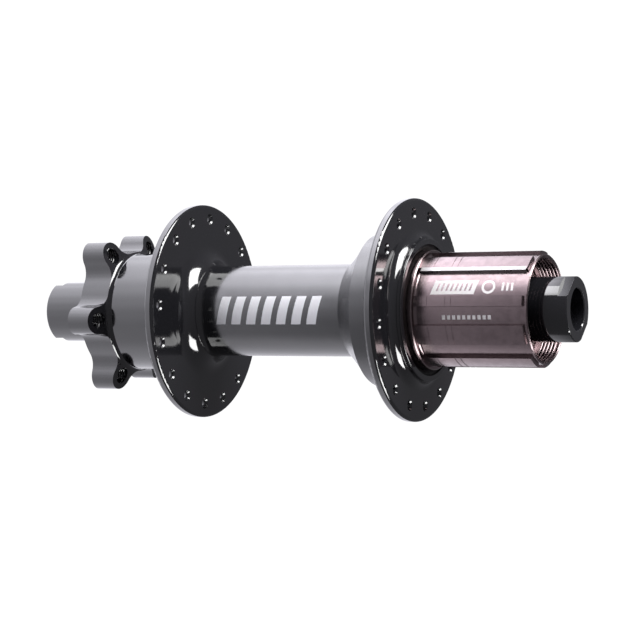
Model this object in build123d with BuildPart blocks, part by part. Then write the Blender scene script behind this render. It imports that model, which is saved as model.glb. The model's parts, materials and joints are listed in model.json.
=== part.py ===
"""Rear hub for a 12 mm thru-axle and 177 mm dropouts, with a six-bolt disc mount and a six-pawl freehub.

Millimetres. The hub's axis is Y, with the disc side at +Y and the drive side at -Y.
X points forwards and Z points up. The origin is on the axis, halfway between the two dropout faces.
The pawls are drawn folded into the freehub body, clear of the ratchet teeth.
"""
from build123d import *
from math import atan2, cos, degrees, radians, sin, sqrt
import os

os.makedirs("parts", exist_ok=True)

# ---------------------------------------------------------------- driving dimensions
over_locknut = 177.0            # between the dropout faces
axle_bore = 12.1                # the 12 mm thru-axle slides in here

# hub shell
disc_flange_inset = 53.05       # disc end to the middle of the disc flange
drive_flange_inset = 51.1       # drive end to the middle of the drive flange
flange_dia = 66.7
flange_thickness = 3.0
rim_round = 0.9                 # rounded corners of each flange rim
spokes_per_flange = 16
spoke_pcd = 58.0
spoke_hole_dia = 2.6
spoke_sink_dia = 3.4            # countersink at both faces
disc_spoke_phase = 176.9        # first spoke hole, from +X towards +Z
drive_spoke_phase = disc_spoke_phase - 180 / spokes_per_flange  # half a pitch round
barrel_dia = 28.0
barrel_wall = 1.8
drum_dia = 36.7                 # between the disc flange and the disc mount

# disc mount
rotor_face_inset = 19.5         # disc end to the face that the rotor seats on
rotor_pcd = 44.0
rotor_bolts = 6
rotor_bolt_hole_dia = 5.0
rotor_boss_radius = 4.25
rotor_valley_depth = 3.0        # bolt circle to the round core between the bosses
rotor_boss_fillet = 5.0
rotor_mount_thickness = 8.7     # at the bolt circle
rotor_back_slope = 0.32         # rise of the conical back, per millimetre of radius
rotor_back_fillet = 1.8
rotor_phase = 187.9             # first bolt hole, from +X towards +Z

# fillets between the flanges and the bodies beside them
barrel_fillet = 6.5             # disc flange to the barrel
barrel_fillet_line = 3.95       # from the flange face to the fine line turned into the fillet
flange_fillet = 2.0
turned_line_radius = 0.12

# bell that holds the ratchet, beside the drive flange
bell_wall = 3.3                 # around the ratchet ring
bell_start_gap = 17.4           # from the back of the drive flange to the barrel's step
bell_step = 0.75                # height of the step where the bell leaves the barrel
bell_length = 9.4               # straight part of the bell beside the flange
bell_shoulder_step = 0.3        # between the flare and the straight part
flare_sag = 0.2                 # how hollow the flare is
collar_wall = 1.65              # around the ratchet ring
collar_height = 3.4             # from the drive flange face
collar_round = 0.25
collar_fillet = 3.1
collar_fillet_line = 2.1        # from the flange face to the fine line turned into the fillet

# ratchet and pawls
ratchet_teeth = 36
ratchet_margin = 1.75           # from the freehub's stop flange to the ratchet ring's outside
ratchet_wall = 2.3              # behind the teeth
tooth_depth = 1.0
tooth_sink = 0.4                # how far a tooth reaches into the ring that carries it
ratchet_width = 8.6
tooth_tip_share = 0.12          # of the tooth pitch, at the tip
tooth_base_share = 0.72         # of the tooth pitch, at the root
pawl_count = 6
pawl_pivot_depth = 2.3          # below the carrier's outside
pawl_heel_radius = 1.7
pawl_arm_half = 1.2             # of the arm's thickness where it leaves the heel
pawl_reach = 5.2                # pivot to tip
pawl_width = 7.0
pawl_end_gap = 0.1
pawl_clearance = 0.05           # heel in its socket
pawl_phase = 15.0               # first pivot, from +X towards +Z
pawl_lift = 16.0                # degrees from folded to engaged
pawl_face_lead = 2.4            # degrees from an engaged pawl's tip to the driving face ahead of it
pawl_tip_height = 1.2           # outer corner of the folded tip, outwards from the pivot
pawl_tip_thickness = 2.0
pocket_floor = 1.6              # inwards from the pivot
pocket_gap = 0.5                # ahead of a folded pawl's tip
pocket_open = 4.0               # outwards from the pivot, past the carrier's outside
pawl_spring_thickness = 0.2
pawl_spring_start = 2.0         # forwards from the pivot
pawl_spring_inset = 1.5         # from each end of the pawl

# freehub body
freehub_end_inset = 9.45        # drive end to the end of the freehub body
spline_length = 34.95           # from the stop face to the end of the body
lockring_thread_dia = 30.6
lockring_thread_length = 7.0
thread_wall = 0.75              # between the lockring thread and the spline valleys
spline_depth = 1.0
spline_valleys = 9
valley_half_angle = 9.5
valley_phase = 186.5            # middle of the first valley, from +X towards +Z
wide_valley_extra = 10.6        # how much further the odd valley reaches on one side
plain_end_length = 1.0          # unsplined ring at the end
spline_bevel = 0.3              # length of the bevel at the splines' ends
valley_run_out = 1.0            # radius between each valley's floor and the stop flange
stop_rise = 0.8                 # from the splines' tips to the stop flange's rim
stop_chamfer = 0.3
end_chamfer = 0.3
carrier_gap = 0.4               # between the pawl carrier and the ratchet's teeth
carrier_bore_gap = 0.5          # around the spacer sleeve
carrier_setback = 0.5           # shell's shoulder to the pawl carrier
wide_valley = 1                 # which valley is the odd one
strip_width = 1.4
strip_depth = 1.9               # below the splines' tips
strip_angle = 136.5             # steel strip, from +X towards +Z
strip_inset = 0.8               # from the stop face to the strip
strip_end_gap = 0.3             # from the strip to the splines' bevelled ends
strip_slot_reach = 1.1          # how far its slot runs on into the stop flange
relief_depth = 0.12             # shallow steps turned across the splines
relief_width = 0.35
relief_insets = (1.1, 3.0, 4.6, 10.3, 12.1)  # from the stop face
seat_length = 4.0               # lowered seat for the largest sprocket, from the stop face
seat_depth = 0.08
snap_groove_depth = 0.7         # outwards from the bearing seat
snap_ring_width = 1.9
snap_ring_opening = 6.0
race_shoulder_share = 0.6       # race shoulder from the pitch circle, per ball radius
cage_side = 0.35
cage_thickness = 1.0
cage_clearance = 0.1
seal_setback = 0.15
seal_thickness = 0.5
seal_recess = 0.7               # collar face to the freehub seal's outer face
seal_dip = 0.5                  # how far its inner lip dips inwards
stop_setback = 0.3              # ratchet ring to the freehub's stop flange

# bearings
shell_bearing_dia = 28.0
shell_bearing_width = 7.0
shell_bearing_ball_dia = 3.5
shell_bearing_balls = 11
freehub_bearing_dia = 24.0
freehub_bearing_width = 5.0
freehub_bearing_ball_dia = 2.38
freehub_bearing_balls = 14
disc_bearing_setback = 2.5      # rotor face to the disc-side bearing
ratchet_setback = 2.0           # collar face to the ratchet ring
drive_bearing_gap = 2.3         # ratchet ring to the drive-side shell bearing
freehub_inner_bearing_gap = 0.1 # stop face to the freehub's inner bearing
snap_ring_thickness = 1.0
ball_clearance = 0.05
seal_gap = 0.1

# axle, end caps, spacers
axle_dia = 15.0                 # also the bore of every bearing
axle_end_inset = 8.5            # cap end to the axle's end
axle_wall = 1.1
axle_shoulder_rise = 1.2        # the stop that the shell bearings' inner races sit against
cap_dia = 19.0
cap_flat_width = 17.0
cap_flat_length = 3.0
cap_mouth_chamfer = 0.3
cap_nose_wall = 1.1             # of the nose that bears on the bearing's inner race
cap_nose_length = 1.0
cap_slip = 0.03                 # cap on the axle
shield_gap = 0.2                # between the dust shield and the shell's bearing seat
shield_thickness = 1.2
sleeve_wall = 1.2
o_ring_section = 1.2
o_ring_inset = 3.0              # from the cap's inner end
drive_flat_angle = 130.5        # direction the first flat faces, from +X towards +Z
disc_flat_angle = 90.0

# ---------------------------------------------------------------- places along the axis
half_length = over_locknut / 2
disc_flange_y = half_length - disc_flange_inset
drive_flange_y = -half_length + drive_flange_inset
disc_flange_face = disc_flange_y - flange_thickness / 2
disc_flange_back = disc_flange_y + flange_thickness / 2
drive_flange_face = drive_flange_y - flange_thickness / 2
drive_flange_back = drive_flange_y + flange_thickness / 2
rotor_face = half_length - rotor_face_inset
collar_face = drive_flange_face - collar_height
ratchet_outer_end = collar_face + ratchet_setback
ratchet_inner_end = ratchet_outer_end + ratchet_width
disc_bearing_outer = rotor_face - disc_bearing_setback
disc_bearing_inner = disc_bearing_outer - shell_bearing_width
drive_bearing_outer = ratchet_inner_end + drive_bearing_gap
drive_bearing_inner = drive_bearing_outer + shell_bearing_width
freehub_end = -half_length + freehub_end_inset
stop_face = freehub_end + spline_length
inner_bearing_start = stop_face - freehub_inner_bearing_gap
inner_bearing_end = inner_bearing_start - freehub_bearing_width
snap_ring_start = freehub_end + lockring_thread_length + snap_ring_thickness
outer_bearing_end = snap_ring_start
outer_bearing_start = outer_bearing_end + freehub_bearing_width
carrier_end = ratchet_inner_end - carrier_setback
stop_shoulder = ratchet_outer_end - stop_setback
strip_start = stop_face - strip_inset
strip_slot_start = stop_face + strip_slot_reach
strip_end = freehub_end + plain_end_length + spline_bevel + strip_end_gap
relief_places = [stop_face - inset for inset in relief_insets]
axle_disc_end = half_length - axle_end_inset
axle_drive_end = -half_length + axle_end_inset

# ---------------------------------------------------------------- diameters that follow from others
shell_bore_dia = min(barrel_dia, shell_bearing_dia) - 2 * barrel_wall
rotor_valley_dia = rotor_pcd - 2 * rotor_valley_depth
spline_root_dia = lockring_thread_dia + 2 * thread_wall
spline_tip_dia = spline_root_dia + 2 * spline_depth
stop_dia = spline_tip_dia + 2 * stop_rise
ratchet_outer_dia = stop_dia + 2 * ratchet_margin
ratchet_root_dia = ratchet_outer_dia - 2 * ratchet_wall
ratchet_tip_dia = ratchet_root_dia - 2 * tooth_depth
carrier_dia = ratchet_tip_dia - 2 * carrier_gap
bell_dia = ratchet_outer_dia + 2 * bell_wall
collar_dia = ratchet_outer_dia + 2 * collar_wall
snap_groove_dia = freehub_bearing_dia + 2 * snap_groove_depth
axle_bore_dia = axle_dia - 2 * axle_wall
axle_shoulder_dia = axle_dia + 2 * axle_shoulder_rise
sleeve_dia = axle_dia + 2 * sleeve_wall
carrier_bore_dia = sleeve_dia + 2 * carrier_bore_gap
cap_nose_dia = axle_dia + 2 * cap_nose_wall
shield_dia = shell_bearing_dia - 2 * shield_gap

# ---------------------------------------------------------------- where the ratchet's teeth stand
# The teeth are turned so that all six pawls can rise between them.
pawl_pivot_radius = carrier_dia / 2 - pawl_pivot_depth
lift_cos = cos(radians(pawl_lift))
lift_sin = sin(radians(pawl_lift))
engaged_forward = pawl_reach * lift_cos - pawl_tip_height * lift_sin
engaged_outward = pawl_reach * lift_sin + pawl_tip_height * lift_cos
engaged_tip_angle = degrees(atan2(engaged_forward, pawl_pivot_radius + engaged_outward))
first_face_angle = pawl_phase - engaged_tip_angle - pawl_face_lead


def facing_drive(y):
    """A sketch plane across the axis at this place, whose extrusions go towards the drive side."""
    return Plane.XZ.offset(-y)


def facing_disc(y):
    """A sketch plane across the axis at this place, whose extrusions go towards the disc side."""
    return Plane.ZX.offset(y)


def finish(builder, name):
    """Label a finished piece and write its STEP file."""
    builder.part.label = name
    export_step(builder.part, f"parts/{name}.step")


def round_corner(profile, corner, radius):
    """Round the corner of a sketch that lies nearest to this point."""
    fillet(profile.vertices().sort_by_distance(Vector(*corner)).first, radius)


def fillet_surface(foot_radius, fillet_radius, depth):
    """Radius from the axis to a flange's fillet, at this depth from the flange face."""
    return foot_radius + fillet_radius - sqrt(fillet_radius**2 - (fillet_radius - depth) ** 2)


def strip_corners():
    """The steel strip's section, square to the radius in the middle of the strip."""
    angle = radians(strip_angle)
    corners = []
    for radius, across in (
        (spline_tip_dia / 2 - strip_depth, -1),
        (spline_tip_dia / 2, -1),
        (spline_tip_dia / 2, 1),
        (spline_tip_dia / 2 - strip_depth, 1),
    ):
        shift = across * strip_width / 2
        corners.append((
            radius * cos(angle) - shift * sin(angle),
            radius * sin(angle) + shift * cos(angle),
        ))
    return corners


def tube(outer_dia, inner_dia, y_high, y_low):
    """A plain tube about the axis."""
    with BuildPart() as piece:
        with BuildSketch(facing_drive(y_high)):
            Circle(outer_dia / 2)
            Circle(inner_dia / 2, mode=Mode.SUBTRACT)
        extrude(amount=y_high - y_low)
    return piece


# ---------------------------------------------------------------- hub shell
with BuildPart() as hub_shell:
    # disc mount: six rounded bosses on a round core
    with BuildSketch(facing_drive(rotor_face)) as mount_outline:
        Circle(rotor_valley_dia / 2)
        with PolarLocations(rotor_pcd / 2, rotor_bolts, start_angle=rotor_phase):
            Circle(rotor_boss_radius)
        fillet(mount_outline.vertices(), radius=rotor_boss_fillet)
    cone_foot = rotor_face - rotor_mount_thickness - rotor_back_slope * (rotor_pcd - drum_dia) / 2
    mount_depth = rotor_face - cone_foot + 2 * rotor_back_fillet
    extrude(amount=mount_depth)
    # its back is a shallow cone that runs into the drum
    clear_radius = rotor_pcd / 2 + 2 * rotor_boss_radius
    cone_rim = cone_foot + rotor_back_slope * (clear_radius - drum_dia / 2)
    with BuildSketch(Plane.XY) as mount_envelope:
        with BuildLine():
            Polyline(
                (0, rotor_face),
                (clear_radius, rotor_face),
                (clear_radius, cone_rim),
                (drum_dia / 2, cone_foot),
                (drum_dia / 2, rotor_face - mount_depth),
                (0, rotor_face - mount_depth),
                close=True,
            )
        make_face()
        round_corner(mount_envelope, (drum_dia / 2, cone_foot), rotor_back_fillet)
    revolve(axis=Axis.Y, mode=Mode.INTERSECT)

    # drum, disc flange, barrel, bell, drive flange and collar are one turned profile
    step_start = (barrel_dia / 2, drive_flange_back + bell_start_gap)
    flare_start = (barrel_dia / 2 + bell_step, step_start[1] - bell_step / 2)
    bell_start = (bell_dia / 2, drive_flange_back + bell_length)
    flare_end = (bell_start[0] - bell_shoulder_step, bell_start[1] + bell_shoulder_step / 2)
    with BuildSketch(Plane.XY) as shell_profile:
        with BuildLine():
            Polyline(
                (0, rotor_face),
                (drum_dia / 2, rotor_face),
                (drum_dia / 2, disc_flange_back),
                (flange_dia / 2, disc_flange_back),
                (flange_dia / 2, disc_flange_face),
                (barrel_dia / 2, disc_flange_face),
                step_start,
                flare_start,
            )
            SagittaArc(flare_start, flare_end, -flare_sag)
            Polyline(
                flare_end,
                bell_start,
                (bell_dia / 2, drive_flange_back),
                (flange_dia / 2, drive_flange_back),
                (flange_dia / 2, drive_flange_face),
                (collar_dia / 2, drive_flange_face),
                (collar_dia / 2, collar_face),
                (0, collar_face),
                (0, rotor_face),
            )
        make_face()
        round_corner(shell_profile, (drum_dia / 2, disc_flange_back), flange_fillet)
        round_corner(shell_profile, (flange_dia / 2, disc_flange_back), rim_round)
        round_corner(shell_profile, (flange_dia / 2, disc_flange_face), rim_round)
        round_corner(shell_profile, (barrel_dia / 2, disc_flange_face), barrel_fillet)
        round_corner(shell_profile, (bell_dia / 2, drive_flange_back), flange_fillet)
        round_corner(shell_profile, (flange_dia / 2, drive_flange_back), rim_round)
        round_corner(shell_profile, (flange_dia / 2, drive_flange_face), rim_round)
        round_corner(shell_profile, (collar_dia / 2, drive_flange_face), collar_fillet)
        round_corner(shell_profile, (collar_dia / 2, collar_face), collar_round)
    revolve(axis=Axis.Y)
    with BuildSketch(Plane.XY):
        for foot_dia, fillet_radius, flange_face, depth in (
            (barrel_dia, barrel_fillet, disc_flange_face, barrel_fillet_line),
            (collar_dia, collar_fillet, drive_flange_face, collar_fillet_line),
        ):
            line_radius = fillet_surface(foot_dia / 2, fillet_radius, depth)
            with Locations((line_radius, flange_face - depth)):
                Circle(turned_line_radius)
    revolve(axis=Axis.Y, mode=Mode.SUBTRACT)

    # bore from the disc side: shield recess, bearing seat, clear bore
    with BuildSketch(facing_drive(rotor_face)):
        Circle(shell_bearing_dia / 2)
    extrude(amount=rotor_face - disc_bearing_inner, mode=Mode.SUBTRACT)
    with BuildSketch(facing_drive(rotor_face)):
        Circle(shell_bore_dia / 2)
    extrude(amount=rotor_face - collar_face, mode=Mode.SUBTRACT)
    # bore from the drive side: ratchet seat, then bearing seat
    with BuildSketch(facing_disc(collar_face)):
        Circle(ratchet_outer_dia / 2)
    extrude(amount=ratchet_inner_end - collar_face, mode=Mode.SUBTRACT)
    with BuildSketch(facing_disc(collar_face)):
        Circle(shell_bearing_dia / 2)
    extrude(amount=drive_bearing_inner - collar_face, mode=Mode.SUBTRACT)

    # spoke holes, countersunk at both faces
    flange_holes = [
        (disc_flange_face, disc_flange_back, disc_spoke_phase),
        (drive_flange_face, drive_flange_back, drive_spoke_phase),
    ]
    for face_y, back_y, phase in flange_holes:
        with Locations(facing_drive(face_y)):
            with PolarLocations(spoke_pcd / 2, spokes_per_flange, start_angle=phase):
                CounterSinkHole(spoke_hole_dia / 2, spoke_sink_dia / 2, flange_thickness)
        with Locations(facing_disc(back_y)):
            with PolarLocations(spoke_pcd / 2, spokes_per_flange, start_angle=90 - phase):
                CounterSinkHole(spoke_hole_dia / 2, spoke_sink_dia / 2, flange_thickness)

    # rotor bolt holes
    with Locations(facing_disc(rotor_face)):
        with PolarLocations(rotor_pcd / 2, rotor_bolts, start_angle=90 - rotor_phase):
            Hole(rotor_bolt_hole_dia / 2, depth=mount_depth)
finish(hub_shell, "hub_shell")


# ---------------------------------------------------------------- ratchet ring, pressed into the shell
tooth_pitch = 360 / ratchet_teeth
tooth_foot_radius = ratchet_root_dia / 2 + tooth_sink


def polar(radius, angle):
    """A point of a sketch across the axis."""
    return (radius * cos(radians(angle)), radius * sin(radians(angle)))


with BuildPart() as ratchet_ring:
    with BuildSketch(facing_drive(ratchet_inner_end)):
        Circle(ratchet_outer_dia / 2)
        Circle(ratchet_root_dia / 2, mode=Mode.SUBTRACT)
        # each tooth has a steep driving face and a long ramp that the pawls click over
        for tooth in range(ratchet_teeth):
            face_angle = first_face_angle + tooth * tooth_pitch
            with BuildLine():
                Polyline(
                    polar(tooth_foot_radius, face_angle),
                    polar(ratchet_tip_dia / 2, face_angle),
                    polar(ratchet_tip_dia / 2, face_angle - tooth_pitch * tooth_tip_share),
                    polar(tooth_foot_radius, face_angle - tooth_pitch * tooth_base_share),
                    close=True,
                )
            make_face()
    extrude(amount=ratchet_width)
finish(ratchet_ring, "ratchet_ring")


# ---------------------------------------------------------------- freehub body
def pawl_point(forward, outward, pivot_angle):
    """A point given from a pawl's pivot, forwards towards its tip and outwards from the axis."""
    radial = pawl_pivot_radius + outward
    angle = radians(pivot_angle)
    return (
        radial * cos(angle) + forward * sin(angle),
        radial * sin(angle) - forward * cos(angle),
    )


pawl_angles = [pawl_phase + index * 360 / pawl_count for index in range(pawl_count)]
pocket_radius = pawl_heel_radius + pawl_clearance
pawl_start = carrier_end - pawl_end_gap
pocket_end = pawl_start - pawl_width - pawl_end_gap
with BuildPart() as freehub_body:
    # turned outside: pawl carrier, stop flange, spline core, plain end ring
    spline_end = freehub_end + plain_end_length
    with BuildSketch(facing_drive(carrier_end)):
        Circle(carrier_dia / 2)
    extrude(amount=carrier_end - stop_shoulder)
    with BuildSketch(facing_drive(stop_shoulder)):
        Circle(stop_dia / 2)
    extrude(amount=stop_shoulder - stop_face)
    chamfer(freehub_body.faces().sort_by(Axis.Y)[0].edges(), length=stop_chamfer)
    with BuildSketch(facing_drive(stop_face)) as spline_outline:
        Circle(spline_tip_dia / 2)
        for valley in range(spline_valleys):
            middle = valley_phase - valley * 360 / spline_valleys
            reach = valley_half_angle
            if valley == wide_valley:
                reach = valley_half_angle + wide_valley_extra
            with BuildLine():
                Polyline(
                    (0, 0),
                    polar(spline_tip_dia, middle - valley_half_angle),
                    polar(spline_tip_dia, middle + reach),
                    close=True,
                )
            make_face(mode=Mode.SUBTRACT)
        Circle(spline_root_dia / 2)
    extrude(amount=stop_face - spline_end)
    with BuildSketch(facing_drive(spline_end)):
        Circle(spline_root_dia / 2)
    extrude(amount=spline_end - freehub_end)
    # each valley's floor runs out into the stop flange in a curve
    run_out_middle = valley_run_out * (1 - sin(radians(45)))
    with BuildSketch(Plane.XY):
        with BuildLine():
            Polyline(
                (spline_root_dia / 2, stop_face - valley_run_out),
                (lockring_thread_dia / 2, stop_face - valley_run_out),
                (lockring_thread_dia / 2, stop_face),
                (spline_root_dia / 2 + valley_run_out, stop_face),
            )
            ThreePointArc(
                (spline_root_dia / 2 + valley_run_out, stop_face),
                (spline_root_dia / 2 + run_out_middle, stop_face - run_out_middle),
                (spline_root_dia / 2, stop_face - valley_run_out),
            )
        make_face()
    revolve(axis=Axis.Y)
    # the splines' ends are bevelled, and shallow steps are turned across them
    with BuildSketch(Plane.XY):
        with BuildLine():
            Polyline(
                (spline_root_dia / 2, spline_end),
                (spline_root_dia / 2 + 2 * spline_depth, spline_end),
                (spline_root_dia / 2 + 2 * spline_depth, spline_end + 2 * spline_bevel),
                close=True,
            )
        make_face()
        for relief_y in relief_places:
            with Locations((spline_tip_dia / 2, relief_y)):
                Rectangle(2 * relief_depth, relief_width)
        with Locations((spline_tip_dia / 2, stop_face - seat_length / 2)):
            Rectangle(2 * seat_depth, seat_length)
    revolve(axis=Axis.Y, mode=Mode.SUBTRACT)
    # slot for the steel strip on a driving flank
    with BuildSketch(facing_drive(strip_slot_start)):
        with BuildLine():
            Polyline(*strip_corners(), close=True)
        make_face()
    extrude(amount=strip_slot_start - strip_end, mode=Mode.SUBTRACT)
    # inside: clear bore, bearing seats, snap ring groove, lockring thread
    with BuildSketch(facing_disc(freehub_end)):
        Circle(lockring_thread_dia / 2)
    extrude(amount=lockring_thread_length, mode=Mode.SUBTRACT)
    with BuildSketch(facing_disc(freehub_end)):
        Circle(freehub_bearing_dia / 2)
    extrude(amount=inner_bearing_start - freehub_end, mode=Mode.SUBTRACT)
    with BuildSketch(facing_drive(carrier_end)):
        Circle(carrier_bore_dia / 2)
    extrude(amount=carrier_end - freehub_end, mode=Mode.SUBTRACT)
    with BuildSketch(facing_drive(snap_ring_start)):
        Circle(snap_groove_dia / 2)
    extrude(amount=snap_ring_thickness, mode=Mode.SUBTRACT)
    # one pocket for each pawl: a round socket for its heel and a slot for its arm
    with BuildSketch(facing_drive(carrier_end)):
        for angle in pawl_angles:
            with Locations(polar(pawl_pivot_radius, angle)):
                Circle(pocket_radius)
            with BuildLine():
                Polyline(
                    pawl_point(0, -pocket_floor, angle),
                    pawl_point(0, pocket_open, angle),
                    pawl_point(pawl_reach + pocket_gap, pocket_open, angle),
                    pawl_point(pawl_reach + pocket_gap, -pocket_floor, angle),
                    close=True,
                )
            make_face()
    extrude(amount=carrier_end - pocket_end, mode=Mode.SUBTRACT)
    chamfer(freehub_body.faces().sort_by(Axis.Y)[0].edges(), length=end_chamfer)
finish(freehub_body, "freehub_body")

with BuildPart() as spline_strip:
    with BuildSketch(facing_drive(strip_start)):
        with BuildLine():
            Polyline(*strip_corners(), close=True)
        make_face()
    extrude(amount=strip_start - strip_end)
finish(spline_strip, "spline_strip")

# ---------------------------------------------------------------- pawls and their springs
for number, angle in enumerate(pawl_angles, start=1):
    with BuildPart() as pawl:
        with BuildSketch(facing_drive(pawl_start)):
            with Locations(polar(pawl_pivot_radius, angle)):
                Circle(pawl_heel_radius)
            with BuildLine():
                Polyline(
                    pawl_point(0, -pawl_arm_half, angle),
                    pawl_point(0, pawl_arm_half, angle),
                    pawl_point(pawl_reach, pawl_tip_height, angle),
                    pawl_point(pawl_reach, pawl_tip_height - pawl_tip_thickness, angle),
                    pawl_point(pawl_heel_radius, -pawl_arm_half, angle),
                    close=True,
                )
            make_face()
        extrude(amount=pawl_width)
    finish(pawl, f"pawl_{number}")

spring_top = pawl_spring_thickness - pocket_floor
with BuildPart() as pawl_springs:
    with BuildSketch(facing_drive(pawl_start - pawl_spring_inset)):
        for angle in pawl_angles:
            with BuildLine():
                Polyline(
                    pawl_point(pawl_spring_start, -pocket_floor, angle),
                    pawl_point(pawl_spring_start, spring_top, angle),
                    pawl_point(pawl_reach, spring_top, angle),
                    pawl_point(pawl_reach, -pocket_floor, angle),
                    close=True,
                )
            make_face()
    extrude(amount=pawl_width - 2 * pawl_spring_inset)
finish(pawl_springs, "pawl_springs")


# ---------------------------------------------------------------- sealed ball bearings
def sealed_bearing(place, y_low, outside, width, ball_dia, ball_count):
    """One deep-groove bearing: two races, the balls, their cage and the two rubber seals."""
    middle = y_low + width / 2
    pitch_radius = (axle_dia + outside) / 4
    ball_radius = ball_dia / 2
    shoulder = ball_radius * race_shoulder_share
    inner_land = pitch_radius - shoulder
    outer_land = pitch_radius + shoulder
    races = {
        "inner_race": (axle_dia / 2, inner_land),
        "outer_race": (outer_land, outside / 2),
    }
    for race_name, (low, high) in races.items():
        with BuildPart() as race:
            with BuildSketch(Plane.XY):
                with Locations(((low + high) / 2, middle)):
                    Rectangle(high - low, width)
                with Locations((pitch_radius, middle)):
                    Circle(ball_radius + ball_clearance, mode=Mode.SUBTRACT)
            revolve(axis=Axis.Y)
        finish(race, f"{place}_{race_name}")
    with BuildPart(facing_drive(middle)) as balls:
        with PolarLocations(pitch_radius, ball_count):
            Sphere(ball_radius)
    finish(balls, f"{place}_balls")
    cage_half = ball_radius + cage_side
    with BuildPart() as cage:
        with BuildSketch(facing_drive(middle + cage_half)):
            Circle(pitch_radius + cage_thickness / 2)
            Circle(pitch_radius - cage_thickness / 2, mode=Mode.SUBTRACT)
        extrude(amount=2 * cage_half)
        with Locations(facing_drive(middle)):
            with PolarLocations(pitch_radius, ball_count):
                Cylinder(
                    ball_radius + cage_clearance,
                    4 * cage_thickness,
                    rotation=(0, 90, 0),
                    mode=Mode.SUBTRACT,
                )
    finish(cage, f"{place}_cage")
    with BuildPart() as seals:
        for seal_start in (y_low + width - seal_setback, y_low + seal_setback + seal_thickness):
            with BuildSketch(facing_drive(seal_start)):
                Circle(outer_land)
                Circle(inner_land + seal_gap, mode=Mode.SUBTRACT)
            extrude(amount=seal_thickness)
    finish(seals, f"{place}_seals")


for place, y_low in (
    ("disc_bearing", disc_bearing_inner),
    ("drive_bearing", drive_bearing_outer),
):
    sealed_bearing(
        place,
        y_low,
        outside=shell_bearing_dia,
        width=shell_bearing_width,
        ball_dia=shell_bearing_ball_dia,
        ball_count=shell_bearing_balls,
    )
for place, y_low in (
    ("freehub_inner_bearing", inner_bearing_end),
    ("freehub_outer_bearing", outer_bearing_end),
):
    sealed_bearing(
        place,
        y_low,
        outside=freehub_bearing_dia,
        width=freehub_bearing_width,
        ball_dia=freehub_bearing_ball_dia,
        ball_count=freehub_bearing_balls,
    )

# ---------------------------------------------------------------- freehub seal and snap ring
seal_outside = ratchet_outer_dia / 2
seal_inside = stop_dia / 2 + seal_gap
seal_face = collar_face + seal_recess
with BuildPart() as freehub_seal:
    with BuildSketch(Plane.XY):
        with BuildLine():
            Polyline(
                (seal_outside, ratchet_outer_end),
                (seal_outside, seal_face),
                ((seal_outside + seal_inside) / 2, seal_face),
                (seal_inside, seal_face + seal_dip),
                (seal_inside, ratchet_outer_end),
                close=True,
            )
        make_face()
    revolve(axis=Axis.Y)
finish(freehub_seal, "freehub_seal")

with BuildPart() as snap_ring:
    with BuildSketch(facing_drive(snap_ring_start)):
        Circle(snap_groove_dia / 2)
        Circle(snap_groove_dia / 2 - snap_ring_width, mode=Mode.SUBTRACT)
        with Locations((snap_groove_dia / 2, 0)):
            Rectangle(4 * snap_ring_width, snap_ring_opening, mode=Mode.SUBTRACT)
    extrude(amount=snap_ring_thickness)
finish(snap_ring, "snap_ring")

# ---------------------------------------------------------------- axle, sleeves, shield
with BuildPart() as main_axle:
    axle_steps = [
        (axle_disc_end, axle_drive_end, axle_dia),
        (disc_bearing_inner, drive_bearing_inner, axle_shoulder_dia),
    ]
    for y_high, y_low, diameter in axle_steps:
        with BuildSketch(facing_drive(y_high)):
            Circle(diameter / 2)
        extrude(amount=y_high - y_low)
    with BuildSketch(facing_drive(axle_disc_end)):
        Circle(axle_bore_dia / 2)
    extrude(amount=axle_disc_end - axle_drive_end, mode=Mode.SUBTRACT)
finish(main_axle, "main_axle")

inner_sleeve = tube(sleeve_dia, axle_dia, drive_bearing_outer, inner_bearing_start)
finish(inner_sleeve, "inner_spacer_sleeve")
outer_sleeve = tube(sleeve_dia, axle_dia, inner_bearing_end, outer_bearing_start)
finish(outer_sleeve, "freehub_spacer_sleeve")


# ---------------------------------------------------------------- end caps
def end_cap(end_y, inner_y, side, flat_angle):
    """A cap that slips over the axle's end; side is +1 at the disc end and -1 at the drive end."""
    nose_y = inner_y + side * cap_nose_length
    axle_end_y = end_y - side * axle_end_inset
    slip_radius = axle_dia / 2 + cap_slip
    groove_start = inner_y + side * o_ring_inset
    groove_end = groove_start + side * o_ring_section
    groove_radius = axle_dia / 2 + o_ring_section
    with BuildPart() as cap:
        with BuildSketch(Plane.XY) as cap_profile:
            with BuildLine():
                Polyline(
                    (axle_bore / 2, end_y),
                    (cap_dia / 2, end_y),
                    (cap_dia / 2, nose_y),
                    (cap_nose_dia / 2, nose_y),
                    (cap_nose_dia / 2, inner_y),
                    (slip_radius, inner_y),
                    (slip_radius, groove_start),
                    (groove_radius, groove_start),
                    (groove_radius, groove_end),
                    (slip_radius, groove_end),
                    (slip_radius, axle_end_y),
                    (axle_bore / 2, axle_end_y),
                    close=True,
                )
            make_face()
            for corner in ((axle_bore / 2, end_y), (cap_dia / 2, end_y)):
                mouth = cap_profile.vertices().sort_by_distance(Vector(*corner)).first
                chamfer(mouth, cap_mouth_chamfer)
        revolve(axis=Axis.Y)
        # two flats for a 17 mm spanner
        cutter_depth = cap_dia / 2
        with BuildSketch(facing_drive(max(end_y, end_y - side * cap_flat_length))):
            with PolarLocations((cap_flat_width + cutter_depth) / 2, 2, start_angle=flat_angle):
                Rectangle(cutter_depth, cap_dia)
        extrude(amount=cap_flat_length, mode=Mode.SUBTRACT)
    return cap


disc_cap = end_cap(half_length, disc_bearing_outer, 1, disc_flat_angle)
finish(disc_cap, "disc_end_cap")
drive_cap = end_cap(-half_length, outer_bearing_end, -1, drive_flat_angle)
finish(drive_cap, "drive_end_cap")

shield_y = disc_bearing_outer + cap_nose_length + shield_thickness
dust_shield = tube(shield_dia, cap_dia, shield_y, shield_y - shield_thickness)
finish(dust_shield, "disc_dust_shield")

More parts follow.
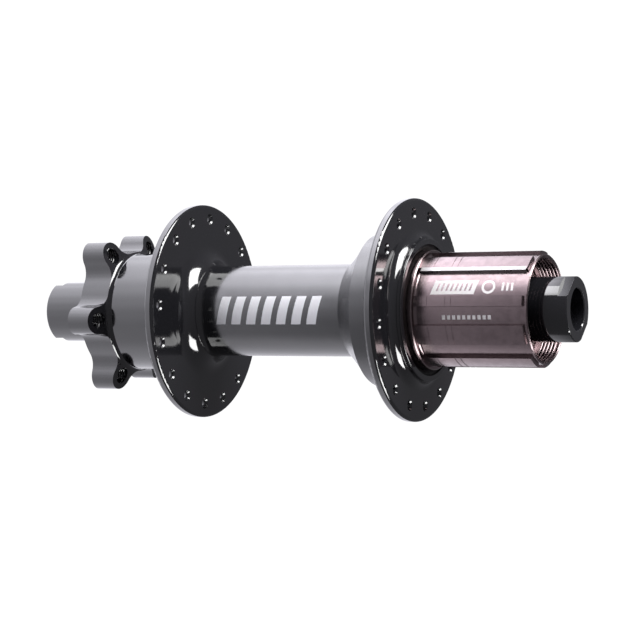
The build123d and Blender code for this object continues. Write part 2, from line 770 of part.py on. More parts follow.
# ---------------------------------------------------------------- O-rings that hold the caps on
for o_ring_name, side, inner_y in (
    ("disc_o_ring", 1, disc_bearing_outer),
    ("drive_o_ring", -1, outer_bearing_end),
):
    groove_start = inner_y + side * o_ring_inset
    high_y = max(groove_start, groove_start + side * o_ring_section)
    o_ring = tube(axle_dia + 2 * o_ring_section, axle_dia, high_y, high_y - o_ring_section)
    finish(o_ring, o_ring_name)
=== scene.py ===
# %% [markdown]
# # A rear hub, lit and finished
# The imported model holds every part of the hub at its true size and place, in metres.
# This lesson loads it, then adds the studio, the finishes and the small details that the
# parts are too plain to carry. Nothing here moves or resizes a part.

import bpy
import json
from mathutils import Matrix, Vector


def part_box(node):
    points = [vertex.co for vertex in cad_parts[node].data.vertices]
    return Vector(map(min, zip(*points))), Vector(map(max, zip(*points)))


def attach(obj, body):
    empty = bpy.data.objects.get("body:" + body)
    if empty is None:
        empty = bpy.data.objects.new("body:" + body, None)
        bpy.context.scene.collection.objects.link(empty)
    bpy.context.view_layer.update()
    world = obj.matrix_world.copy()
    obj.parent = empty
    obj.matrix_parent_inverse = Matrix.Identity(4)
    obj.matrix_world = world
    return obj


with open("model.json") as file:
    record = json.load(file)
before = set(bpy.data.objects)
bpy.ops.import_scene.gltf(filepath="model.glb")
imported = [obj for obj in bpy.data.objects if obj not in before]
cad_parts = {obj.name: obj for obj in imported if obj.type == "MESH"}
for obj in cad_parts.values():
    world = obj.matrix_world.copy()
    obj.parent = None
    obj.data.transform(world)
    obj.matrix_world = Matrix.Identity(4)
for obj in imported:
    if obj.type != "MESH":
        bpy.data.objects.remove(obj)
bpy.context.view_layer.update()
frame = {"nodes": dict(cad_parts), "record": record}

# %% [markdown]
# Blender's own module builds everything else. The math modules place the camera and lamps.

# %% Modules
import json
import math

import bpy
from mathutils import Matrix, Vector

print("Blender", bpy.app.version_string)

# %% [markdown]
# ## Where the sizes come from
# The hub's axis is Y, the disc side is at +Y and the drive side at -Y. A part's box gives its
# lowest and highest corner, so the disc mount's face, the freehub's open end and the end of
# the caps are measured from the parts and not typed in. The two radii that follow are those
# of the barrel and of the freehub's valley floors, which carry the marks, in millimetres. The
# rest are in metres, and are sizes of standard parts: a lockring thread of 24 turns to the
# inch, and M5 disc bolts on a 44 mm circle.

# %% Sizes
MM = 0.001
freehub_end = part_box("freehub_body")[0].y
mount_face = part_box("hub_shell")[1].y
cap_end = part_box("disc_end_cap")[1].y / MM
barrel_radius = 14.0
valley_radius = 16.05
lockring_thread_radius = 15.3 * MM
lockring_thread_length = 7.0 * MM
lockring_pitch = 25.4 / 24 * MM
bolt_thread_radius = 2.5 * MM
bolt_thread_length = 7.2 * MM
bolt_pitch = 0.8 * MM
bolt_circle_radius = 22.0 * MM
first_bolt_angle = math.radians(187.9)
print("disc mount face at", round(mount_face / MM, 2), "mm")
print("freehub ends at", round(freehub_end / MM, 2), "mm, caps at", round(cap_end, 2), "mm")

# %% [markdown]
# ## The camera
# A long lens at the height of the axis, a little round towards the drive side, shows both
# flanges as ellipses and keeps the barrel straight. The camera is placed by the angle that
# it stands off square to the axis, and by how far away it is.

# %% Camera
view_angle = math.radians(26.9)
view_tilt = math.radians(-0.374)
view_distance = 0.6146
aim = Vector((1.8, -3.55, -1.8)) * MM
lens_length = 113.95
sensor_width = 36.0
sideways = Vector((-math.cos(view_angle), -math.sin(view_angle), 0.0))
towards_camera = sideways * math.cos(view_tilt) + Vector((0, 0, math.sin(view_tilt)))
camera_data = bpy.data.cameras.new("camera")
camera_data.lens = lens_length
camera_data.sensor_width = sensor_width
camera = bpy.data.objects.new("camera", camera_data)
camera.location = aim + towards_camera * view_distance
camera.rotation_mode = "QUATERNION"
camera.rotation_quaternion = (-towards_camera).to_track_quat("-Z", "Y")
bpy.context.scene.collection.objects.link(camera)
bpy.context.scene.camera = camera
bpy.context.scene.view_settings.view_transform = "Standard"
print("camera at", [round(c, 3) for c in camera.location])

# %% [markdown]
# ## Building node trees
# The room, the finishes and the threads here are trees of small nodes. Two helpers keep the
# later cells short: one adds a sum, and one makes a soft step from a low value to a high one.

# %% Helpers for building node trees
def maths(tree, operation, first, second=None, clamp=False):
    """A Math node. Each operand is a socket or a number."""
    node = tree.nodes.new("ShaderNodeMath")
    node.operation = operation
    node.use_clamp = clamp
    for socket, value in zip(node.inputs, (first, second)):
        if value is None:
            continue
        if isinstance(value, bpy.types.NodeSocket):
            tree.links.new(value, socket)
        else:
            socket.default_value = value
    return node.outputs[0]


def ramp_between(tree, value, start, end, low=0.0, high=1.0):
    """Rise smoothly from low to high while value goes from start to end."""
    node = tree.nodes.new("ShaderNodeMapRange")
    node.interpolation_type = "SMOOTHSTEP"
    tree.links.new(value, node.inputs["Value"])
    node.inputs["From Min"].default_value = start
    node.inputs["From Max"].default_value = end
    node.inputs["To Min"].default_value = low
    node.inputs["To Max"].default_value = high
    return node.outputs["Result"]


print("two helpers for node trees")

# %% [markdown]
# ## The studio
# Polished black metal has almost no colour of its own: it shows the room. So the room is
# designed first. Seen from the hub, the disc side is a bright wall that is brightest overhead,
# and the drive side is dark. A real studio does this with big sheets of white paper. Here
# the room is painted in the world's shader from the direction alone, because then nothing
# stands between the camera and the hub, and the camera itself can see plain white.
#
# The list gives the wall's brightness round the hub's axis, in degrees: 0 is level in front,
# 90 straight up, 180 level behind and -90 straight down.

# %% The bright wall
ring_light = {
    -180: 1.1,
    -132: 1.5,
    -88: 1.4,
    -57: 0.85,
    -30: 0.85,
    -5: 1.3,
    20: 2.3,
    46: 4.0,
    75: 5.8,
    112: 5.4,
    139: 2.8,
    180: 1.1,
}
ring_peak = max(ring_light.values())
world = bpy.data.worlds.new("studio")
world.use_nodes = True
sky = world.node_tree
sky.nodes.clear()
direction = sky.nodes.new("ShaderNodeTexCoord").outputs["Generated"]
split = sky.nodes.new("ShaderNodeSeparateXYZ")
sky.links.new(direction, split.inputs[0])
forwards = maths(sky, "MULTIPLY", split.outputs["X"], -1.0)
around = maths(sky, "ARCTAN2", split.outputs["Z"], forwards)
along_ring = maths(sky, "ADD", maths(sky, "DIVIDE", around, 2 * math.pi), 0.5)
ring = sky.nodes.new("ShaderNodeValToRGB")
ring.color_ramp.interpolation = "EASE"
stops = ring.color_ramp.elements
for index, (degrees_round, light) in enumerate(ring_light.items()):
    place = degrees_round / 360 + 0.5
    stop = stops[index] if index < 2 else stops.new(place)
    stop.position = place
    grey = light / ring_peak
    stop.color = (grey, grey, grey, 1.0)
sky.links.new(along_ring, ring.inputs["Fac"])
bright_room = maths(sky, "MULTIPLY", ring.outputs["Color"], ring_peak)
print("wall light from", min(ring_light.values()), "to", ring_peak)

# %% [markdown]
# The wall doesn't end in a straight line. Straight ahead it stops short, so the freehub's
# front and the end cap stay dark, and overhead and underfoot it reaches further round, so
# their upper and lower edges catch light. Far out on the disc side the wall is more even,
# which keeps the disc mount and its end cap a calm grey. Each edge is a direction's share
# along the hub's axis, and the turn of the edge round the hub is in radians.

# %% The wall's edge and the dark room
dark_room = 0.16
far_side_light = 1.5
far_side_share = 0.65
front_edge = 0.40
overhead_edge = 0.33
edge_softness = 0.03
darkest_angle = math.radians(-23)
edge_turn_start, edge_turn_end = 0.8, 1.5
far_side_start, far_side_end = 0.44, 0.57
from_darkest = maths(sky, "ABSOLUTE", maths(sky, "SUBTRACT", around, darkest_angle))
wall_edge = ramp_between(
    sky, from_darkest, edge_turn_start, edge_turn_end, front_edge, overhead_edge
)
past_edge = maths(sky, "SUBTRACT", split.outputs["Y"], wall_edge)
far_side = ramp_between(
    sky, split.outputs["Y"], far_side_start, far_side_end, 0.0, far_side_share
)
evened = sky.nodes.new("ShaderNodeMix")
sky.links.new(far_side, evened.inputs["Factor"])
sky.links.new(bright_room, evened.inputs["A"])
evened.inputs["B"].default_value = far_side_light
room_light = sky.nodes.new("ShaderNodeMix")
sky.links.new(ramp_between(sky, past_edge, 0.0, edge_softness), room_light.inputs["Factor"])
room_light.inputs["A"].default_value = dark_room
sky.links.new(evened.outputs["Result"], room_light.inputs["B"])
print("dark room light", dark_room)

# %% [markdown]
# Last, the camera's own rays are told apart from reflected ones. The camera sees white, and
# the hub reflects the room in a slightly cool white, which gives the black its blue cast.

# %% What the camera sees
seen_white = 1.05
cool_white = (0.93, 0.92, 1.0, 1.0)
plain_white = (1.0, 1.0, 1.0, 1.0)
is_camera = sky.nodes.new("ShaderNodeLightPath").outputs["Is Camera Ray"]
seen = sky.nodes.new("ShaderNodeMix")
sky.links.new(is_camera, seen.inputs["Factor"])
sky.links.new(room_light.outputs["Result"], seen.inputs["A"])
seen.inputs["B"].default_value = seen_white
background = sky.nodes.new("ShaderNodeBackground")
tint = sky.nodes.new("ShaderNodeMix")
tint.data_type = "RGBA"
sky.links.new(is_camera, tint.inputs["Factor"])
tint.inputs["A"].default_value = cool_white
tint.inputs["B"].default_value = plain_white
sky.links.new(tint.outputs["Result"], background.inputs["Color"])
sky.links.new(seen.outputs["Result"], background.inputs["Strength"])
world_out = sky.nodes.new("ShaderNodeOutputWorld")
sky.links.new(background.outputs[0], world_out.inputs["Surface"])
bpy.context.scene.world = world
print("world nodes:", len(sky.nodes))

# %% [markdown]
# The ring of light alone gives long soft gradients. The crisp shapes in polished metal come
# from lamps. Each softbox is placed by the direction it shines from, with its width measured
# round the hub and its length along it. The two near softboxes make a bright patch above and
# below on each fillet. The overhead one is long, narrow and far away, so that the end cap and
# the freehub catch it, and the barrel, which mirrors a slightly different direction, doesn't.

# %% Softboxes
def softbox(name, direction_from_hub, distance, round_the_hub, along_the_hub, brightness):
    """A rectangular lamp that faces the hub and that the camera doesn't see."""
    away = Vector(direction_from_hub).normalized()
    across = Vector((0.0, 1.0, 0.0)).cross(away).normalized()
    lengthwise = away.cross(across)
    data = bpy.data.lights.new(name, "AREA")
    data.shape = "RECTANGLE"
    data.size = round_the_hub
    data.size_y = along_the_hub
    data.energy = brightness * math.pi * round_the_hub * along_the_hub
    lamp = bpy.data.objects.new(name, data)
    facing = Matrix((across, lengthwise, away)).transposed().to_4x4()
    lamp.matrix_world = Matrix.Translation(away * distance) @ facing
    lamp.visible_camera = False
    bpy.context.scene.collection.objects.link(lamp)
    print(name, "brightness", brightness)


near, far = 0.55, 3.0
softbox("upper_right_softbox", (-0.03, -0.55, 0.80), near, 0.42, 0.34, brightness=13.0)
softbox("lower_right_softbox", (-0.04, -0.60, -0.76), near, 0.26, 0.26, brightness=11.0)
softbox("overhead_softbox", (-0.33, 0.335, 0.88), far, 2.0, 0.20, brightness=4.0)

# %% [markdown]
# ## The floor
# A pale disc well below the hub. It only fills in the view from above, so it is hidden from
# reflections: the hub already has its room. It glows, so that it looks evenly lit.

# %% Floor
floor_drop = 0.15
floor_radius = 0.6
floor_glow = 0.8
bpy.ops.mesh.primitive_circle_add(
    vertices=96, radius=floor_radius, fill_type="NGON", location=(0, 0, -floor_drop)
)
floor = bpy.context.object
floor.name = "floor"
floor_paint = bpy.data.materials.new("pale floor")
floor_paint.use_nodes = True
floor_shader = floor_paint.node_tree.nodes["Principled BSDF"]
floor_shader.inputs["Base Color"].default_value = (0.62, 0.62, 0.63, 1.0)
floor_shader.inputs["Roughness"].default_value = 0.8
floor_shader.inputs["Emission Color"].default_value = (1.0, 1.0, 1.0, 1.0)
floor_shader.inputs["Emission Strength"].default_value = floor_glow
floor.data.materials.append(floor_paint)
floor.visible_glossy = False
floor.visible_diffuse = False
print("floor radius", floor_radius, "m")

# %% [markdown]
# ## The finishes
# A picture wrapped round each part would need a picture and a way to wrap it. Here a finish
# is worked out at every point instead, so it stays sharp and needs no file. It starts as a
# Principled shader with fixed values. Detail is then added from the object's own
# coordinates. The parts are modelled in place, so those coordinates are the same as the
# hub's, and a grain size can be stated in millimetres.

# %% Start of a finish
def new_finish(name, colour, metallic, roughness, ior=1.5):
    """A material whose shader has these fixed values, its node tree and its shader."""
    material = bpy.data.materials.new(name)
    material.use_nodes = True
    shader = material.node_tree.nodes["Principled BSDF"]
    shader.inputs["Base Color"].default_value = (*colour, 1.0)
    shader.inputs["Metallic"].default_value = metallic
    shader.inputs["Roughness"].default_value = roughness
    shader.inputs["IOR"].default_value = ior
    return material, material.node_tree, shader


print("finishes start from a Principled shader")

# %% [markdown]
# ### Places on a turned part
# Most surfaces here were cut on a lathe, so the useful numbers are the distance along the
# axis, the radius, and the angle round the axis. The angle is zero at the front, facing the
# camera, and grows upwards.

# %% Places in millimetres
def places(tree):
    """The point in millimetres, then its distance along the hub, radius and angle."""
    point = tree.nodes.new("ShaderNodeTexCoord").outputs["Object"]
    in_mm = tree.nodes.new("ShaderNodeVectorMath")
    in_mm.operation = "SCALE"
    in_mm.inputs["Scale"].default_value = 1 / MM
    tree.links.new(point, in_mm.inputs[0])
    axes = tree.nodes.new("ShaderNodeSeparateXYZ")
    tree.links.new(in_mm.outputs[0], axes.inputs[0])
    across_square = maths(tree, "POWER", axes.outputs["X"], 2.0)
    up_square = maths(tree, "POWER", axes.outputs["Z"], 2.0)
    radius = maths(tree, "SQRT", maths(tree, "ADD", across_square, up_square))
    front = maths(tree, "MULTIPLY", axes.outputs["X"], -1.0)
    angle = maths(tree, "ARCTAN2", axes.outputs["Z"], front)
    return in_mm.outputs[0], axes.outputs["Y"], radius, angle


print("places are in millimetres and radians")

# %% [markdown]
# ### Grain
# Noise gives every kind of grain. Stretched over radius and length it makes the fine rings
# that a lathe tool leaves. Used in all three directions it makes the even grain of blasted
# metal, rubber or nylon.

# %% Grain, roughness and bumps
def noise(tree, where, grain, dimensions="3D"):
    """Noise from 0 to 1 whose grains are about this many millimetres across."""
    node = tree.nodes.new("ShaderNodeTexNoise")
    node.noise_dimensions = dimensions
    node.inputs["Scale"].default_value = 1 / grain
    node.inputs["Detail"].default_value = 2.0
    tree.links.new(where, node.inputs["Vector"])
    return node.outputs["Fac"]


def turned_grain(tree, along, radius, grain):
    """Noise that changes along the axis and with radius but not round the part."""
    ring_place = tree.nodes.new("ShaderNodeCombineXYZ")
    tree.links.new(radius, ring_place.inputs["X"])
    tree.links.new(along, ring_place.inputs["Y"])
    return noise(tree, ring_place.outputs[0], grain, "2D")


def vary_roughness(tree, shader, value, low, high):
    """Let the roughness wander from low to high with a noise value."""
    wander = ramp_between(tree, value, 0.3, 0.7, low, high)
    tree.links.new(wander, shader.inputs["Roughness"])


def add_bumps(tree, shader, height, depth):
    """Raise the surface by up to depth millimetres where height is 1."""
    bump = tree.nodes.new("ShaderNodeBump")
    bump.inputs["Distance"].default_value = depth * MM
    tree.links.new(height, bump.inputs["Height"])
    tree.links.new(bump.outputs["Normal"], shader.inputs["Normal"])


print("helpers for grain are ready")

# %% [markdown]
# Two whole finishes are needed again and again: one for parts off a lathe, and one for parts
# that are blasted, moulded or stamped. The lathe's lines are a fraction of a millimetre apart
# and too shallow to see one by one, but they spread each highlight along the hub.

# %% Two general finishes
turning_step = 0.15


def turned_finish(name, colour, metallic, smooth, rough, ior=1.5, line_depth=0.0003):
    """A lathe-turned finish: fine rings, and soft patches where the polish varies."""
    material, tree, shader = new_finish(name, colour, metallic, rough, ior)
    point, along, radius, _ = places(tree)
    vary_roughness(tree, shader, noise(tree, point, 3.0), smooth, rough)
    add_bumps(tree, shader, turned_grain(tree, along, radius, turning_step), line_depth)
    return material


def grained_finish(name, colour, metallic, smooth, rough, grain, depth):
    """A finish with an even grain in all directions."""
    material, tree, shader = new_finish(name, colour, metallic, rough)
    point = places(tree)[0]
    vary_roughness(tree, shader, noise(tree, point, 2.0), smooth, rough)
    add_bumps(tree, shader, noise(tree, point, grain), depth)
    return material


print("two general finishes, with turning lines every", turning_step, "mm")

# %% [markdown]
# ### Plain marks
# The printed and engraved marks are rows of plain slanted bars. A mask is 1 inside a bar and
# 0 outside it, and is worked out from where the point is. This way the marks stay sharp at
# any distance and turn with their part.

# %% Masks for marks
def inside(tree, value, low, high, edge=0.06):
    """1 where value is between low and high, 0 elsewhere, with a soft edge."""
    above = ramp_between(tree, value, low - edge, low + edge)
    below = ramp_between(tree, value, high - edge, high + edge, 1.0, 0.0)
    return maths(tree, "MULTIPLY", above, below)


def bar_row(tree, along, height, start, end, bars, share, half_height, slant=0.0):
    """A row of equal bars from start to end, each filling a share of its pitch."""
    lean = maths(tree, "MULTIPLY", height, slant)
    leaned = maths(tree, "ADD", along, lean)
    from_start = maths(tree, "SUBTRACT", leaned, start)
    pitches = maths(tree, "MULTIPLY", from_start, bars / (end - start))
    within_pitch = maths(tree, "FRACT", pitches)
    bar = inside(tree, within_pitch, 0.5 - share / 2, 0.5 + share / 2, 0.02)
    row = inside(tree, leaned, start, end)
    tall = inside(tree, height, -half_height, half_height)
    return maths(tree, "MULTIPLY", bar, maths(tree, "MULTIPLY", row, tall))


def ring_mark(tree, along, height, centre, inner, outer):
    """A plain ring centred at this distance along the hub."""
    sideways_square = maths(tree, "POWER", maths(tree, "SUBTRACT", along, centre), 2.0)
    height_square = maths(tree, "POWER", height, 2.0)
    distance = maths(tree, "SQRT", maths(tree, "ADD", sideways_square, height_square))
    return inside(tree, distance, inner, outer)


print("masks for bars and rings are ready")

# %% [markdown]
# The height of a mark is measured round the part, from a line at a given angle. Ink covers
# the colour, the metal and the roughness under it.

# %% Placing and painting marks
def height_round(tree, angle, centre_degrees, radius):
    """Millimetres round the part from a line at this angle."""
    turned = maths(tree, "SUBTRACT", angle, math.radians(centre_degrees))
    return maths(tree, "MULTIPLY", turned, radius)


def paint(tree, shader, mask, under, ink, ink_roughness):
    """Cover the shader's colour, metal and roughness with ink wherever the mask is 1."""
    colour = tree.nodes.new("ShaderNodeMix")
    colour.data_type = "RGBA"
    tree.links.new(mask, colour.inputs["Factor"])
    colour.inputs["A"].default_value = (*under, 1.0)
    colour.inputs["B"].default_value = (*ink, 1.0)
    tree.links.new(colour.outputs["Result"], shader.inputs["Base Color"])
    bare = shader.inputs["Metallic"].default_value
    metal = ramp_between(tree, mask, 0.0, 1.0, bare, 0.0)
    tree.links.new(metal, shader.inputs["Metallic"])
    roughness = tree.nodes.new("ShaderNodeMix")
    tree.links.new(mask, roughness.inputs["Factor"])
    tree.links.new(shader.inputs["Roughness"].links[0].from_socket, roughness.inputs["A"])
    roughness.inputs["B"].default_value = ink_roughness
    tree.links.new(roughness.outputs["Result"], shader.inputs["Roughness"])


print("marks can be placed and painted")

# %% [markdown]
# ### Black anodising
# The shell is polished, then dyed black and sealed. It could be made as a dark metal, but
# that gives a grey without depth. A nearly black colour under a clear surface, with a high
# index of refraction, gives the strong clean reflection of sealed anodising. The flanges are
# polished bright, and the barrel between them is left satin. A row of white slanted bars is
# printed on the front of the barrel.

# %% Black shell
shell_black = (0.010, 0.010, 0.012)
white_ink = (0.86, 0.86, 0.88)
ink_roughness = 0.35
polish_line_depth = 0.0002
satin_extra = 0.09
satin_start, satin_end = -36.0, 21.0
sealed_ior = 1.85
mark_slant = 0.25
barrel_bars = {"start": -13.0, "end": 23.0, "bars": 7, "share": 0.62, "half_height": 4.3}
black_gloss, tree, shader = new_finish("black anodising", shell_black, 0.0, 0.1, sealed_ior)
point, along, radius, angle = places(tree)
polish = ramp_between(tree, noise(tree, point, 4.0), 0.3, 0.7, 0.09, 0.12)
between_flanges = inside(tree, along, satin_start, satin_end, edge=2.5)
satin = maths(tree, "MULTIPLY", between_flanges, satin_extra)
tree.links.new(maths(tree, "ADD", polish, satin), shader.inputs["Roughness"])
add_bumps(tree, shader, turned_grain(tree, along, radius, turning_step), polish_line_depth)
height = height_round(tree, angle, 0.0, barrel_radius)
bars = bar_row(tree, along, height, **barrel_bars, slant=mark_slant)
outside = inside(tree, radius, barrel_radius - 0.5, barrel_radius + 0.5)
paint(tree, shader, maths(tree, "MULTIPLY", bars, outside), shell_black, white_ink, ink_roughness)
print("shell finish nodes:", len(tree.nodes))

# %% [markdown]
# ### Black end caps
# The end caps have the same dye and polish. Their end faces are rubbed by the frame each time
# that the wheel goes in, so they are dull. The roughness rises just short of the cap's end.

# %% Black end caps
cap_polish = 0.05
cap_face_roughness = 0.38
cap_line_depth = 0.0003
cap_gloss, tree, shader = new_finish("black cap anodising", shell_black, 0.0, cap_polish, sealed_ior)
_, along, radius, _ = places(tree)
distance_out = maths(tree, "ABSOLUTE", along)
on_face = ramp_between(
    tree, distance_out, cap_end - 0.06, cap_end - 0.02, cap_polish, cap_face_roughness
)
tree.links.new(on_face, shader.inputs["Roughness"])
add_bumps(tree, shader, turned_grain(tree, along, radius, turning_step), cap_line_depth)
print("cap finish nodes:", len(tree.nodes))

# %% [markdown]
# ### Bronze anodising
# The freehub body is blasted before it is dyed, so it is satin: the reflection is soft and
# the colour is in the metal. Its engraved marks are bare pale metal: a panel with bars cut
# out of it, a ring, three short bars, and a row of dashes in the next valley. Places along
# the hub are in millimetres, and the lines that the marks sit on are in degrees.

# %% Bronze freehub
bronze_colour = (0.235, 0.184, 0.190)
engraved = (0.80, 0.78, 0.77)
engraved_roughness = 0.45
upper_line = 23.5
lower_line = -8.3
panel_shape = {"start": -63.2, "end": -49.6, "bars": 1, "share": 1.0, "half_height": 2.2}
cut_shape = {"start": -62.2, "end": -50.6, "bars": 8, "share": 0.4, "half_height": 1.2}
ring_shape = {"centre": -66.9, "inner": 1.4, "outer": 2.1}
short_shape = {"start": -74.8, "end": -70.6, "bars": 3, "share": 0.45, "half_height": 1.2}
dash_shape = {"start": -68.4, "end": -52.7, "bars": 10, "share": 0.6, "half_height": 0.6}
bronze, tree, shader = new_finish("bronze anodising", bronze_colour, 1.0, 0.28)
point, along, radius, angle = places(tree)
vary_roughness(tree, shader, noise(tree, point, 2.0), 0.21, 0.27)
add_bumps(tree, shader, noise(tree, point, 0.12), 0.001)
print("bare freehub finish nodes:", len(tree.nodes))

# %% [markdown]
# The marks are joined one after another. The bars in the panel are taken away from it, and
# the largest value of all the masks is kept. Only the floors of the valleys are painted.

# %% Marks on the freehub
upper_height = height_round(tree, angle, upper_line, valley_radius)
lower_height = height_round(tree, angle, lower_line, valley_radius)
panel = bar_row(tree, along, upper_height, **panel_shape, slant=mark_slant)
cut = bar_row(tree, along, upper_height, **cut_shape, slant=mark_slant)
marks = maths(tree, "SUBTRACT", panel, cut, clamp=True)
for mark in (
    ring_mark(tree, along, upper_height, **ring_shape),
    bar_row(tree, along, upper_height, **short_shape),
    bar_row(tree, along, lower_height, **dash_shape),
):
    marks = maths(tree, "MAXIMUM", marks, mark)
in_valley = inside(tree, radius, valley_radius - 0.3, valley_radius + 0.3)
on_floor = maths(tree, "MULTIPLY", marks, in_valley)
paint(tree, shader, on_floor, bronze_colour, engraved, engraved_roughness)
print("freehub finish nodes:", len(tree.nodes))

# %% [markdown]
# ### The other finishes
# The axle, the sleeves and the dust shield are bare turned aluminium. The bearings have
# polished steel races and balls, moulded nylon cages and rubber seals. The pawls and the
# ratchet are hardened, which leaves them a duller grey, and the springs and the strip in the
# spline are stamped steel. The two general helpers make them all. The numbers are the
# colour, how metallic, and the smoothest and roughest roughness. For grain they go on with
# its size and its depth in millimetres.

# %% Other finishes
slot_finish = {
    "black_anodised_shell": black_gloss,
    "black_anodised_caps": cap_gloss,
    "bronze_anodised_freehub": bronze,
    "bare_aluminium": turned_finish("bare aluminium", (0.75, 0.75, 0.77), 1.0, 0.24, 0.34),
    "black_rubber": grained_finish("black rubber", (0.02, 0.02, 0.02), 0.0, 0.5, 0.65, 0.2, 0.01),
    "bearing_cage_nylon": grained_finish("cage nylon", (0.6, 0.55, 0.42), 0.0, 0.4, 0.5, 0.3, 0.01),
    "bearing_steel": turned_finish("bearing steel", (0.64, 0.64, 0.65), 1.0, 0.12, 0.2),
    "strip_steel": grained_finish("strip steel", (0.36, 0.35, 0.35), 1.0, 0.25, 0.33, 0.1, 0.002),
    "spring_steel": grained_finish("spring steel", (0.55, 0.54, 0.52), 1.0, 0.22, 0.3, 0.1, 0.002),
    "hardened_steel": grained_finish("hardened steel", (0.5, 0.5, 0.51), 1.0, 0.3, 0.42, 0.1, 0.003),
}
for row in frame["record"]["subparts"]:
    mesh = frame["nodes"][row["node"]].data
    mesh.materials.clear()
    mesh.materials.append(slot_finish[row["material_slot"]])
print("finishes:", len(slot_finish))

# %% [markdown]
# ## Screw threads
# The parts have smooth bores where the real ones are threaded. A bump pattern could hint at
# the threads, but it wouldn't catch light edge-on. A Geometry Nodes tree makes real ridges
# from a few numbers: a spiral carries a diamond-shaped profile, half sunk in the bore, and
# the coil is then copied to points on a circle round the hub's axis. The tree's inputs are
# named, so the same tree makes the lockring thread in the freehub and the six bolt threads
# in the disc mount.

# %% Build the thread tree
thread_tree = bpy.data.node_groups.new("screw threads", "GeometryNodeTree")
thread_inputs = {
    "Thread Radius": "NodeSocketFloat",
    "Pitch": "NodeSocketFloat",
    "Length": "NodeSocketFloat",
    "Steps Per Turn": "NodeSocketInt",
    "Copies": "NodeSocketInt",
    "Circle Radius": "NodeSocketFloat",
    "First Angle": "NodeSocketFloat",
    "Start": "NodeSocketFloat",
    "Finish": "NodeSocketMaterial",
}
input_key = {}
for input_name, socket_type in thread_inputs.items():
    socket = thread_tree.interface.new_socket(
        name=input_name, in_out="INPUT", socket_type=socket_type
    )
    input_key[input_name] = socket.identifier
thread_tree.interface.new_socket(
    name="Geometry", in_out="OUTPUT", socket_type="NodeSocketGeometry"
)
given = thread_tree.nodes.new("NodeGroupInput").outputs


def join(source, target):
    """Link two sockets of the thread tree."""
    thread_tree.links.new(source, target)


spiral = thread_tree.nodes.new("GeometryNodeCurveSpiral")
join(given["Steps Per Turn"], spiral.inputs["Resolution"])
join(maths(thread_tree, "DIVIDE", given["Length"], given["Pitch"]), spiral.inputs["Rotations"])
join(given["Thread Radius"], spiral.inputs["Start Radius"])
join(given["Thread Radius"], spiral.inputs["End Radius"])
join(given["Length"], spiral.inputs["Height"])
upright = thread_tree.nodes.new("GeometryNodeSetCurveNormal")
upright.mode = "Z_UP"
join(spiral.outputs[0], upright.inputs["Curve"])
diamond = thread_tree.nodes.new("GeometryNodeCurvePrimitiveCircle")
diamond.inputs["Resolution"].default_value = 4
join(maths(thread_tree, "MULTIPLY", given["Pitch"], 0.5), diamond.inputs["Radius"])
coil = thread_tree.nodes.new("GeometryNodeCurveToMesh")
coil.inputs["Fill Caps"].default_value = True
join(upright.outputs[0], coil.inputs["Curve"])
join(diamond.outputs[0], coil.inputs["Profile Curve"])
laid = thread_tree.nodes.new("GeometryNodeTransform")
laid.inputs["Rotation"].default_value = (-math.pi / 2, 0.0, 0.0)
join(coil.outputs[0], laid.inputs["Geometry"])
print("thread tree inputs:", len(thread_inputs))

# %% [markdown]
# Each copy stands at a point worked out from its number: the angle is the first angle plus
# that share of a full turn.

# %% Place the copies
number = thread_tree.nodes.new("GeometryNodeInputIndex").outputs[0]
share = maths(thread_tree, "DIVIDE", number, given["Copies"])
turn = maths(thread_tree, "MULTIPLY", share, 2 * math.pi)
copy_angle = maths(thread_tree, "ADD", turn, given["First Angle"])
cosine = maths(thread_tree, "COSINE", copy_angle)
sine = maths(thread_tree, "SINE", copy_angle)
copy_x = maths(thread_tree, "MULTIPLY", cosine, given["Circle Radius"])
copy_z = maths(thread_tree, "MULTIPLY", sine, given["Circle Radius"])
place = thread_tree.nodes.new("ShaderNodeCombineXYZ")
join(copy_x, place.inputs["X"])
join(given["Start"], place.inputs["Y"])
join(copy_z, place.inputs["Z"])
points = thread_tree.nodes.new("GeometryNodePoints")
join(given["Copies"], points.inputs["Count"])
join(place.outputs[0], points.inputs["Position"])
copies = thread_tree.nodes.new("GeometryNodeInstanceOnPoints")
join(points.outputs[0], copies.inputs["Points"])
join(laid.outputs[0], copies.inputs["Instance"])
real = thread_tree.nodes.new("GeometryNodeRealizeInstances")
join(copies.outputs[0], real.inputs[0])
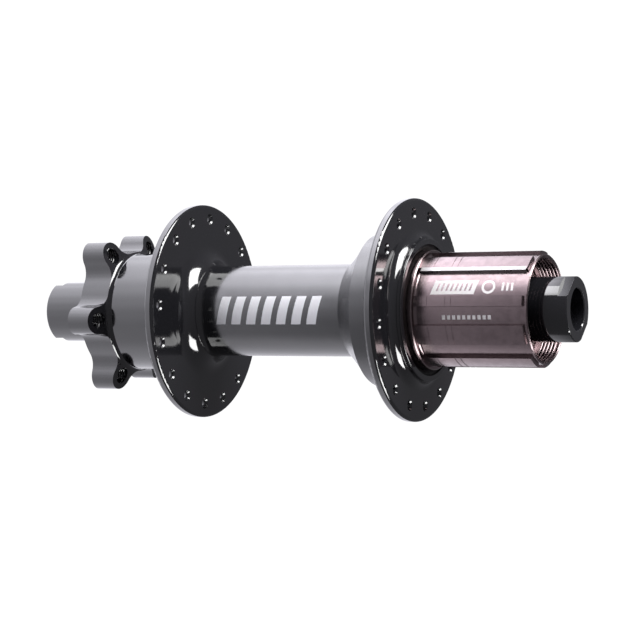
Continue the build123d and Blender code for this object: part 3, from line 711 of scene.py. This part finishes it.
coated = thread_tree.nodes.new("GeometryNodeSetMaterial")
join(real.outputs[0], coated.inputs["Geometry"])
join(given["Finish"], coated.inputs["Material"])
made = thread_tree.nodes.new("NodeGroupOutput")
join(coated.outputs[0], made.inputs["Geometry"])
print("thread tree nodes:", len(thread_tree.nodes))

# %% [markdown]
# A thread is made on an empty mesh. The inputs are set, the result is taken as a plain mesh,
# and the modifier is thrown away, so the finished piece is ordinary geometry at the origin.

# %% How a thread is made
def make_thread(name, body, slot, **settings):
    """Make one piece from the thread tree and let it ride on a body."""
    piece = bpy.data.objects.new(name, bpy.data.meshes.new(name))
    bpy.context.scene.collection.objects.link(piece)
    modifier = piece.modifiers.new("threads", "NODES")
    modifier.node_group = thread_tree
    for input_name, value in settings.items():
        modifier[input_key[input_name.replace("_", " ")]] = value
    modifier[input_key["Finish"]] = slot_finish[slot]
    evaluated = piece.evaluated_get(bpy.context.evaluated_depsgraph_get())
    plain = bpy.data.meshes.new_from_object(evaluated)
    piece.modifiers.clear()
    piece.data = plain
    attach(piece, body)
    print(name, "has", len(plain.polygons), "faces")


print("a thread is a plain mesh that rides on its body")

# %% [markdown]
# The lockring screws into the open end of the freehub. Its thread starts half a turn in from
# the end face, so the last crest doesn't stand out of the bore.

# %% Lockring thread
make_thread(
    "lockring_thread", "freehub", "bronze_anodised_freehub",
    Thread_Radius=lockring_thread_radius, Pitch=lockring_pitch,
    Length=lockring_thread_length - lockring_pitch,
    Steps_Per_Turn=96, Copies=1, Circle_Radius=0.0, First_Angle=0.0,
    Start=freehub_end + lockring_pitch / 2,
)

# %% [markdown]
# The brake disc is held by six M5 bolts. Their threads start one turn in from the mount's
# face and stop short of the back.

# %% Disc bolt threads
make_thread(
    "rotor_bolt_threads", "hub_shell", "black_anodised_shell",
    Thread_Radius=bolt_thread_radius, Pitch=bolt_pitch, Length=bolt_thread_length,
    Steps_Per_Turn=40, Copies=6, Circle_Radius=bolt_circle_radius, First_Angle=first_bolt_angle,
    Start=mount_face - bolt_pitch - bolt_thread_length,
)
